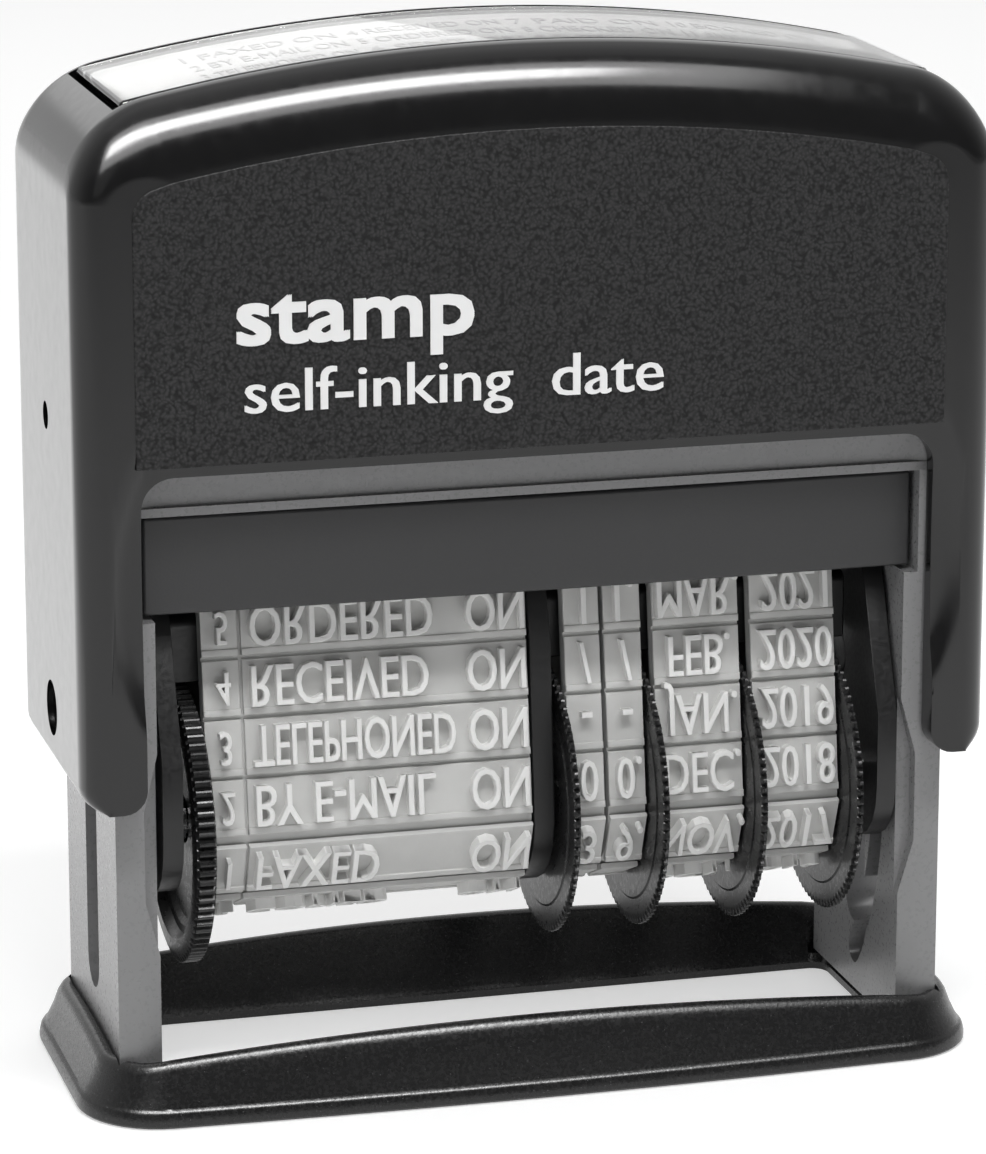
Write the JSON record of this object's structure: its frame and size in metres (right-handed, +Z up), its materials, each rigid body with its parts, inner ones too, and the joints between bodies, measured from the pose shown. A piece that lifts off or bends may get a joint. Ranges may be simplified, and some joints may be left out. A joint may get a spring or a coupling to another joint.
{
  "type": "rotary date stamp",
  "caption": "Self-inking hand stamp whose sprung housing turns a unit of thumbwheel-set phrase and date bands from the ink pad to the paper.",
  "frame": {"origin": "bottom centre of the foot ring, on the paper", "axes": "+Z up; +X to the right along the stamp's length; the front faces -Y"},
  "size_m": [0.063, 0.0266, 0.0714],
  "materials": {
    "foot_black": "fine satin grain",
    "frame_grey": "satin",
    "tray_black": "satin",
    "ink_felt": "inked felt",
    "spring_steel": "drawn wire",
    "housing_black": "gloss with a grained front panel",
    "card_white": "printed card",
    "window_clear": "clear moulded plastic",
    "unit_black": "satin",
    "pin_steel": "ground",
    "band_white": "moulded rubber",
    "wheel_black": "knurled"
  },
  "bodies": {
    "frame": {"foot_ring": "foot_black", "lower_frame": "frame_grey", "ink_tray": "tray_black", "ink_pad": "ink_felt", "return_spring": "spring_steel"},
    "housing": {"housing_cap": "housing_black", "index_card": "card_white"},
    "index_window": {"index_window": "window_clear"},
    "type_unit": {"right_end_plate": "unit_black", "left_end_plate": "unit_black", "right_pivot_pin": "unit_black", "left_pivot_pin": "unit_black", "right_cam_follower": "pin_steel", "left_cam_follower": "pin_steel", "wheel_axle": "pin_steel", "platen_bar": "unit_black", "band_partition": "unit_black", "phrase_band": "band_white", "day_tens_band": "band_white", "day_units_band": "band_white", "month_band": "band_white", "year_band": "band_white"},
    "phrase_wheel": {"phrase_wheel": "wheel_black"},
    "day_tens_wheel": {"day_tens_wheel": "wheel_black"},
    "day_units_wheel": {"day_units_wheel": "wheel_black"},
    "month_wheel": {"month_wheel": "wheel_black"},
    "year_wheel": {"year_wheel": "wheel_black"}
  },
  "joints": [
    {"name": "housing_press", "type": "slide", "parent": "frame", "child": "housing", "axis": [0, 0, -1], "range_m": [0, 0.0174], "stiffness_N_per_m": 500, "springref_m": -0.012, "deforming": ["return_spring"]},
    {"name": "type_flip", "type": "hinge", "parent": "housing", "child": "type_unit", "pos_m": [0, 0, 0.0262], "axis": [1, 0, 0], "range_deg": [0, 180]},
    {"name": "window_lift", "type": "slide", "parent": "housing", "child": "index_window", "axis": [0, 0, 1], "range_m": [0, 0.02]},
    {"name": "phrase_turn", "type": "hinge", "parent": "type_unit", "child": "phrase_wheel", "pos_m": [0, 0, 0.0177], "axis": [1, 0, 0], "continuous": true},
    {"name": "day_tens_turn", "type": "hinge", "parent": "type_unit", "child": "day_tens_wheel", "pos_m": [0, 0, 0.0177], "axis": [1, 0, 0], "continuous": true},
    {"name": "day_units_turn", "type": "hinge", "parent": "type_unit", "child": "day_units_wheel", "pos_m": [0, 0, 0.0177], "axis": [1, 0, 0], "continuous": true},
    {"name": "month_turn", "type": "hinge", "parent": "type_unit", "child": "month_wheel", "pos_m": [0, 0, 0.0177], "axis": [1, 0, 0], "continuous": true},
    {"name": "year_turn", "type": "hinge", "parent": "type_unit", "child": "year_wheel", "pos_m": [0, 0, 0.0177], "axis": [1, 0, 0], "continuous": true}
  ],
  "couplings": [
    {"joint": "type_flip", "follows": "housing_press", "rad_per_m": 180.55}
  ]
}
